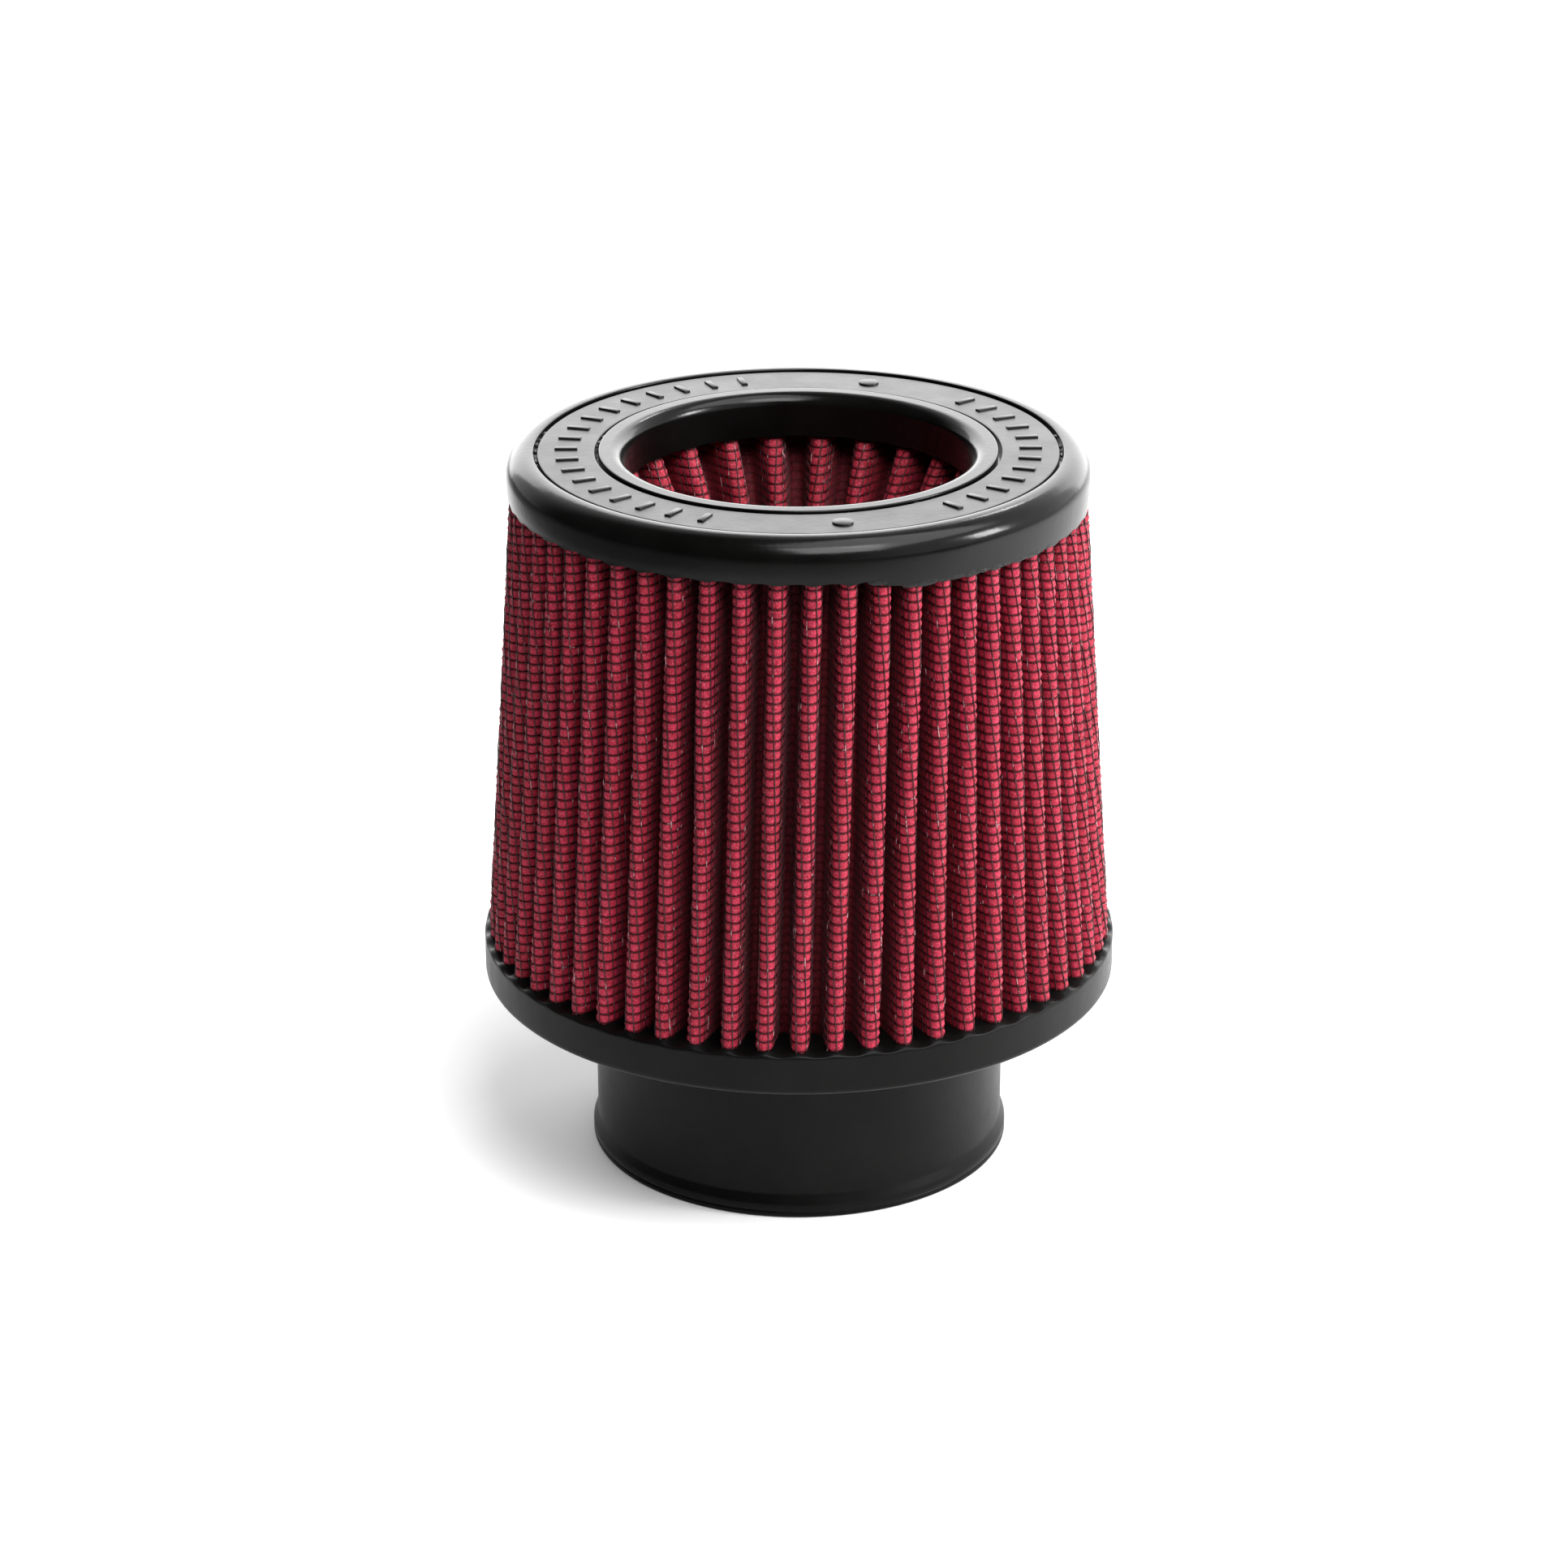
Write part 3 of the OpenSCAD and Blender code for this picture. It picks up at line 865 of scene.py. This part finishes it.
def floor_paper(name):
    """Seamless studio paper that glows as if lit from below: painted shade darkens it to the left
    and in front, and its painted glow grows to the right.
    """
    finishes = sizes().finishes
    nodes = new_material(name)
    x, y = nodes.split(nodes.place)
    slanted = nodes.math("ADD", x, nodes.math("MULTIPLY", y, 0.18))
    left = nodes.span(slanted, (-0.40, -0.16), (0, 1), "SMOOTHSTEP")
    front = nodes.span(y, (-0.62, -0.15), (0, 1), "SMOOTHSTEP")
    right = nodes.span(x, (0.14, 0.45), (0.16, 0.5), "SMOOTHSTEP")
    shade = nodes.math("MULTIPLY", left, front)
    nodes.set(
        Base_Color=nodes.mix(shade, finishes.floor_shade, finishes.floor),
        Roughness=nodes.span(nodes.noise(30.0), (0.3, 0.7), (0.75, 0.9)),
        Specular_IOR_Level=0.2,
        # Painted light: the paper glows, dimmed by its painted shade and brighter to the right.
        Emission_Color=(1.0, 1.0, 1.0),
        Emission_Strength=nodes.math("MULTIPLY", shade, right),
    )
    return nodes.owner


# Operators


class FILTER_OT_base_flange(Operator):
    """Turn the neck and rim as one moulding, with urethane crept up the feet of the pleats"""

    bl_idname = "filter.base_flange"
    bl_label = "Neck and Rim"

    def execute(self, context):
        ends = sizes().ends
        bore, neck, top = ends.pipe, ends.neck, RIM_TOP
        bead, bead_top, shoulder = neck + ends.bead, ends.bead_height, ends.neck_height
        soft = 0.6 * MM
        line, groove = 1.35 * MM, 0.16 * MM
        entry = top - shoulder
        inside = bore + entry
        profile = [(bore, 1.3 * MM), (bore + 0.35 * MM, 0.75 * MM), (bore + 1.1 * MM, 0.1 * MM)]
        profile += [(bore + 1.4 * MM, 0.0)]
        profile += arc(bead - soft, soft, soft, -90, 0, 4)
        profile += [
            (bead, line - groove),
            (bead - 0.17 * MM, line),
            (bead, line + groove),
            (bead, bead_top - 0.4 * MM),
            (bead - 0.1 * MM, bead_top),
            (neck + 0.1 * MM, bead_top + 1.8 * ends.bead),
            (neck, bead_top + 2.2 * ends.bead),
            (neck, shoulder - 1.0 * MM),
        ]
        profile += arc(neck + 0.9 * MM, shoulder - 0.9 * MM, 0.9 * MM, 180, 90, 4)[1:]
        profile += [(RIM_RADIUS - 2.0 * MM, shoulder)]
        profile += arc(RIM_RADIUS - 1.2 * MM, shoulder + 1.2 * MM, 1.2 * MM, -90, 0, 5)
        profile += arc(RIM_RADIUS - 0.35 * MM, top - 0.35 * MM, 0.35 * MM, 0, 90, 3)
        profile += [(r, top) for r in np.linspace(RIM_RADIUS - 0.6 * MM, inside, 23)[:-1]]
        profile += arc(inside, top - entry, entry, 90, 180, 9)
        mesh = as_mesh(turned(profile, STEPS_PER_PLEAT * sizes().outer.pleats), "base_moulding")
        pleated = (inside + 1 * MM, RIM_RADIUS)
        creep(mesh, outer_pleats(), 0, top - 0.25 * MM, pleated, ends.meniscus, seed=21)
        material = urethane("black_urethane", "base", gloss=0.38, grain=0.35, ior=1.19)
        finish_piece(mesh, ["base_flange"], material, EDGE_ANGLE)
        return {"FINISHED"}


class FILTER_OT_top_cap(Operator):
    """Turn the cap with its rolled edge, rolled lip, ring channel and tapered, ragged skirt"""

    bl_idname = "filter.top_cap"
    bl_label = "Top Cap"

    def execute(self, context):
        ends = sizes().ends
        top, foot, edge, lip = CAP_TOP, CAP_FOOT, ends.cap_edge, ends.lip
        channel_in = ends.ring_inside - ends.band_gap
        channel_out = RING_RADIUS + ends.band_gap
        floor = top - ends.channel
        soft = 0.25 * MM
        underside = np.linspace(ends.hole + 0.4 * MM, CAP_RADIUS - 1.6 * MM, 24)
        profile = arc(CAP_RADIUS - edge, top - edge, edge, 0, 90, 12)
        profile += arc(channel_out + soft, top - soft, soft, 90, 180, 3)
        profile += [(channel_out, floor), (channel_in, floor)]
        profile += arc(channel_in - soft, top - soft, soft, 0, 90, 3)
        profile += arc(ends.hole + lip, top - lip, lip, 90, 180, 10)
        profile += [(ends.hole, foot)]
        profile += [(r, foot) for r in underside]
        waist = foot + ends.skirt_height
        for share in (0.0, 0.08, 0.18, 0.3, 0.45, 0.6, 0.75, 0.88):
            z = foot + (waist - foot) * share
            profile.append((CAP_RADIUS - ends.skirt_taper * (1 - share) ** 2.4, z))
        profile.append((CAP_RADIUS, waist))
        mesh = as_mesh(turned(profile, STEPS_PER_PLEAT * sizes().outer.pleats), "cap_moulding")
        for pleats, radii, seed in (
            (outer_pleats(), (PARTING, CAP_RADIUS), 22),
            (inner_pleats(), (0, PARTING), 23),
        ):
            creep(mesh, pleats, 1, foot + 0.1 * MM, radii, 0.7 * ends.meniscus, seed)
        co = coordinates(mesh)
        skirt = (co[:, 2] < waist + 0.1 * MM) & (np.abs(on_plane(co)) > PARTING)
        share = np.clip((waist - co[skirt, 2]) / ends.skirt_height, 0, 1)
        co[skirt, 2] -= share * foot_drop(np.angle(on_plane(co[skirt])))
        move_to(mesh, co)
        material = urethane("black_urethane", "cap", gloss=0.17, grain=0.3, ior=1.26)
        finish_piece(mesh, ["top_cap"], material, EDGE_ANGLE)
        return {"FINISHED"}


# The direction of each dot on the band ring, the degrees to the next dot, and the bars between.
MARKS = ((71.5, 209.0, 18), (-79.5, 151.0, 12))


class FILTER_OT_band_ring(Operator):
    """Make the flat ring in the cap's top, with plain raised bars and two raised dots"""

    bl_idname = "filter.band_ring"
    bl_label = "Band Ring"

    def execute(self, context):
        ends = sizes().ends
        inside, outside = ends.ring_inside, RING_RADIUS
        face = CAP_TOP - ends.mark_height
        soft = 0.2 * MM
        profile = [(inside, RING_FLOOR), (outside, RING_FLOOR)]
        profile += arc(outside - soft, face - soft, soft, 0, 90, 3)
        profile += arc(inside + soft, face - soft, soft, 90, 180, 3)
        bm = turned(profile, RING_STEPS)
        low = face - 0.5 * MM
        tall = CAP_TOP - low
        middle = ((inside + outside) / 2, low + tall / 2)
        bar = (ends.bar_length, ends.bar_width, tall)
        for dot_at, gap, bars in MARKS:
            dot_at = math.radians(dot_at)
            made = bmesh.ops.create_cone(
                bm,
                cap_ends=True,
                segments=32,
                radius1=ends.dot,
                radius2=ends.dot - 0.12 * MM,
                depth=tall,
                matrix=around(dot_at, *middle),
            )
            self.soften(bm, made["verts"])
            for j in range(bars):
                bar_at = dot_at + math.radians(gap) / 2 + (j - (bars - 1) / 2) * ends.bar_step
                made = bmesh.ops.create_cube(bm, size=1.0, matrix=around(bar_at, *middle, bar))
                self.soften(bm, made["verts"])
        material = urethane("band_urethane", "ring", gloss=0.3, grain=0.45, ior=1.28)
        mesh = as_mesh(bm, "band_ring")
        finish_piece(mesh, ["top_band_ring"], material, EDGE_ANGLE)
        return {"FINISHED"}

    @staticmethod
    def soften(bm, verts):
        """Rounds the upper edges of one mark."""
        top = max(v.co.z for v in verts)
        edges = dict.fromkeys(e for v in verts for e in v.link_edges)
        upper = [e for e in edges if all(v.co.z > top - TINY for v in e.verts)]
        bmesh.ops.bevel(
            bm, geom=upper, offset=0.1 * MM, segments=2, profile=0.5, affect="EDGES", material=-1
        )


class FILTER_OT_flash(Operator):
    """Leave crumbs of moulding flash beside the band ring and thin skins on the cap's foot"""

    bl_idname = "filter.flash"
    bl_label = "Flash in the Gaps"

    def execute(self, context):
        ends = sizes().ends
        draw = np.random.RandomState(31)
        outside = RING_RADIUS + ends.band_gap / 2
        inside = ends.ring_inside - ends.band_gap / 2
        crumbs = [(outside, a) for a in (168, 171, 176, 181, 187, 358, 3, 9)]
        crumbs += [(inside, a) for a in (166, 172, 178, 305, 309)]
        skins = (-74, -69, -66, -62, -58, -55, -51.5, -49, -46, -42, -39, -33)
        bm = bmesh.new()

        def lump(place, steps, radius, rough):
            ball = bmesh.ops.create_icosphere(bm, subdivisions=steps, radius=radius, matrix=place)
            for vert in ball["verts"]:
                vert.co += Vector(draw.normal(0, rough, 3))

        for r, degrees in crumbs:
            azimuth = math.radians(degrees + draw.uniform(-1.5, 1.5))
            radius = draw.uniform(0.34, 0.46) * MM
            z = CAP_TOP - draw.uniform(0.7, 1.1) * MM
            place = around(azimuth, r, z, (1.0, draw.uniform(1.4, 3.2), 0.9))
            lump(place, 2, radius, 0.035 * MM)
        for degrees in skins:
            azimuth = math.radians(degrees + draw.uniform(-1, 1))
            z = CAP_FOOT + 0.1 * MM - foot_drop(azimuth)
            scale = (0.22, draw.uniform(1.6, 3.4), draw.uniform(0.5, 1.1))
            lump(around(azimuth, CAP_RADIUS - 0.25 * MM, z, scale), 3, 0.8 * MM, 0.03 * MM)
        material = urethane("band_urethane", "flash", gloss=0.4, grain=0.3, ior=1.3)
        finish_piece(as_mesh(bm, "band_flash"), [], material)
        return {"FINISHED"}


class FILTER_OT_end_plug(Operator):
    """Turn the plug that closes the inverted cone's narrow end"""

    bl_idname = "filter.end_plug"
    bl_label = "Cone End Plug"

    def execute(self, context):
        edge = 1.6 * MM
        soft = 0.5 * MM
        profile = [(0.0, PLUG_FLOOR), (PLUG_RADIUS * 0.5, PLUG_FLOOR)]
        profile += arc(PLUG_RADIUS - edge, PLUG_FLOOR + edge, edge, -90, 0, 6)
        profile += arc(PLUG_RADIUS - soft, PLUG_TOP - soft, soft, 0, 90, 3)
        profile += [(r, PLUG_TOP) for r in np.linspace(PLUG_RADIUS - 1 * MM, 0.0, 28)]
        mesh = as_mesh(turned(profile, PLUG_STEPS), "end_plug")
        height = 0.8 * sizes().ends.meniscus
        pleated = (8 * MM, PLUG_RADIUS)
        creep(mesh, inner_pleats(), 0, PLUG_TOP - 0.05 * MM, pleated, height, seed=24)
        material = urethane("black_urethane", "plug", gloss=0.42, grain=0.35, ior=1.3)
        finish_piece(mesh, ["cone_end_plug"], material, EDGE_ANGLE)
        return {"FINISHED"}


# The gauze of each cone: its pieces, its share of the oil colour, which on the inner cone is also
# painted shade, and the seed of its swelling.
# The outer one is in two, because a piece has to stay under 200,000 triangles.
GAUZES = {
    "outer": (("outer_gauze_left", "outer_gauze_right"), 0.55, 41),
    "inner": (("inner_gauze",), 1.0, 42),
}
GAUZE_BACK_ROWS = 6
BACKING_ROWS = (8, 8)


class FILTER_OT_gauze(Operator):
    """Fold the cotton gauze of both cones, swollen between its wires"""

    bl_idname = "filter.gauze"
    bl_label = "Gauze"

    def execute(self, context):
        for cone, weave in weaves().items():
            names, oil_and_shade, seed = GAUZES[cone]
            material = gauze_cloth("oiled_gauze_" + cone, oil_and_shade)
            front = pillow_front(weave, seed)
            rows = (2 * weave.rows, GAUZE_BACK_ROWS)
            for i, name in enumerate(names):
                first, last = [weave.pleats.count * j // len(names) for j in (i, i + 1)]
                columns = fold_lines(weave, first, last)
                mesh = folded_sheet(name, weave, columns, rows, front, GAUZE_BACK)
                finish_piece(mesh, [cone + "_cotton_gauze"], material)
        return {"FINISHED"}


class FILTER_OT_wire_screens(Operator):
    """Weave the coated wires over the gauze of both cones"""

    bl_idname = "filter.wire_screens"
    bl_label = "Wire Screens"

    def execute(self, context):
        for cone, weave in weaves().items():
            # Pale spots on the wires are wear and painted glints; the upright wires get more of
            # them, for more glints.
            for way, runs, glint_and_worn_from, ior in (
                ("level", level_wires(weave), 0.66, 1.2),
                ("upright", upright_wires(weave), 0.6, 1.45),
            ):
                name = f"{cone}_{way}_wires"
                material = coated_wire("coated_" + name, glint_and_worn_from, ior)
                mesh = wires(name, runs, sizes().mesh.wire)
                finish_piece(mesh, [cone + "_wire_screen"], material)
        return {"FINISHED"}


class FILTER_OT_backing_screens(Operator):
    """Fold the screens on the clean side of both cones"""

    bl_idname = "filter.backing_screens"
    bl_label = "Backing Screens"

    def execute(self, context):
        for cone, weave in weaves().items():
            name = cone + "_backing"
            material = screen_over_gauze("bare_screen_" + cone)
            columns = np.arange(weave.columns + 1.0)
            mesh = folded_sheet(name, weave, columns, BACKING_ROWS, backing_front, -HALF_WALL)
            finish_piece(mesh, [cone + "_backing_screen"], material)
        return {"FINISHED"}


class FILTER_OT_seam_clips(Operator):
    """Give the crimped seam clips their brushed metal"""

    bl_idname = "filter.seam_clips"
    bl_label = "Seam Clips"

    def execute(self, context):
        material = clip_metal("clip_sheet_metal")
        for name in ("outer_seam_clip", "inner_seam_clip"):
            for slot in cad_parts[name].material_slots:
                slot.material = material
        return {"FINISHED"}


# Each softbox by name, with its place, what it points to, its width and height, and its power.
SOFTBOXES = {
    "softbox_back": ((0.25, 1.45, 0.5), (0.25, 0, 0.5), (2.4, 1.14), 29.0),
    "softbox_key": ((0.82, -0.18, 0.46), (0, 0, 0.08), (0.2, 0.26), 7.5),
    "softbox_over": ((0.26, -0.1, 0.8), (0, 0, 0.05), (0.6, 0.6), 6.0),
    "softbox_fill": ((0.2, -0.6, 0.9), (0, 0, 0), (0.5, 0.5), 9.0),
    "softbox_rear": ((0.31, 0.95, 0.9), (0, 0, 0.15), (0.16, 0.12), 1.2),
}

# The photo's camera, fitted to the ellipses of the rim, cap and hole. Angles are in radians, and
# the focal length was found in pixels of the photo's width.
CAMERA_AT = (0.0, -0.84738, 0.42702)
CAMERA_DOWN = 0.390032
CAMERA_YAW = -0.0036263
CAMERA_ROLL = -0.0025847
SENSOR_MM = 36.0
LENS_MM = SENSOR_MM * 5411.05 / 1932


class FILTER_OT_stage(Operator):
    """Lay the pale floor, light it softly and set the camera at the photograph's angle"""

    bl_idname = "filter.stage"
    bl_label = "Stage"

    def execute(self, context):
        scene = context.scene
        scene.view_settings.view_transform = "Standard"
        scene.view_settings.look = "None"
        scene.world = self.world()
        for name, values in SOFTBOXES.items():
            self.softbox(name, *values)
        scene.camera = self.camera()
        self.floor()
        return {"FINISHED"}

    def floor(self):
        bm = bmesh.new()
        bmesh.ops.create_grid(bm, x_segments=8, y_segments=8, size=6.0)
        mesh = as_mesh(bm, "studio_floor")
        mesh.materials.append(floor_paper("studio_paper"))
        floor = show("studio_floor", mesh)

    def world(self):
        """A dark room with light from the right and from behind."""
        nodes = Nodes(bpy.data.worlds.new("studio_world"), "Background", "Generated")
        x, y = nodes.split(nodes.place)
        right = nodes.span(x, (0.1, 0.9), (0.06, 1.5), "SMOOTHSTEP")
        behind = nodes.span(y, (0.3, 0.8), (0, 1), "SMOOTHSTEP")
        nodes.set(Color=(1.0, 1.0, 1.0), Strength=nodes.math("ADD", right, behind))
        return nodes.owner

    def softbox(self, name, place, target, size, power):
        light = bpy.data.lights.new(name, "AREA")
        light.shape = "RECTANGLE"
        light.size, light.size_y = size
        light.energy = power
        lamp = show(name, light)
        lamp.visible_camera = False
        away = Vector(place) - Vector(target)
        facing = away.to_track_quat("Z", "Y").to_matrix().to_4x4()
        lamp.matrix_world = Matrix.Translation(place) @ facing

    def camera(self):
        camera = bpy.data.cameras.new("photo_camera")
        camera.sensor_width = SENSOR_MM
        camera.lens = LENS_MM
        camera.clip_start = 0.05
        camera.clip_end = 30.0
        eye = show("photo_camera", camera)
        turn = Matrix.Rotation(-CAMERA_YAW, 4, "Z")
        turn = turn @ Matrix.Rotation(math.pi / 2 - CAMERA_DOWN, 4, "X")
        turn = turn @ Matrix.Rotation(CAMERA_ROLL, 4, "Z")
        eye.matrix_world = Matrix.Translation(CAMERA_AT) @ turn
        return eye


class FILTER_PT_sidebar(Panel):
    """Lists the filter's sizes and the steps that build it"""

    bl_idname = "FILTER_PT_sidebar"
    bl_label = "Cone Air Filter"
    bl_space_type = "VIEW_3D"
    bl_region_type = "UI"
    bl_category = "Filter"

    def draw(self, context):
        layout = self.layout
        for group in FilterSizes.__annotations__:
            settings = getattr(context.scene.filter_sizes, group)
            box = layout.box()
            box.label(text=type(settings).__name__)
            for name in settings.__annotations__:
                box.prop(settings, name)
        for step in STEPS:
            layout.operator(step.bl_idname)


STEPS = (
    FILTER_OT_base_flange,
    FILTER_OT_top_cap,
    FILTER_OT_band_ring,
    FILTER_OT_flash,
    FILTER_OT_end_plug,
    FILTER_OT_gauze,
    FILTER_OT_wire_screens,
    FILTER_OT_backing_screens,
    FILTER_OT_seam_clips,
    FILTER_OT_stage,
)

GROUPS = (EndPieceSizes, OuterConeSizes, InvertedConeSizes, MeshSizes, Finishes, FilterSizes)
CLASSES = (*GROUPS, *STEPS, FILTER_PT_sidebar)


def register():
    for kind in CLASSES:
        bpy.utils.register_class(kind)
    bpy.types.Scene.filter_sizes = PointerProperty(type=FilterSizes)


def unregister():
    del bpy.types.Scene.filter_sizes
    for kind in reversed(CLASSES):
        bpy.utils.unregister_class(kind)


def main():
    register()
    for step in STEPS:
        group, name = step.bl_idname.split(".")
        getattr(getattr(bpy.ops, group), name)()


if __name__ == "__main__":
    main()
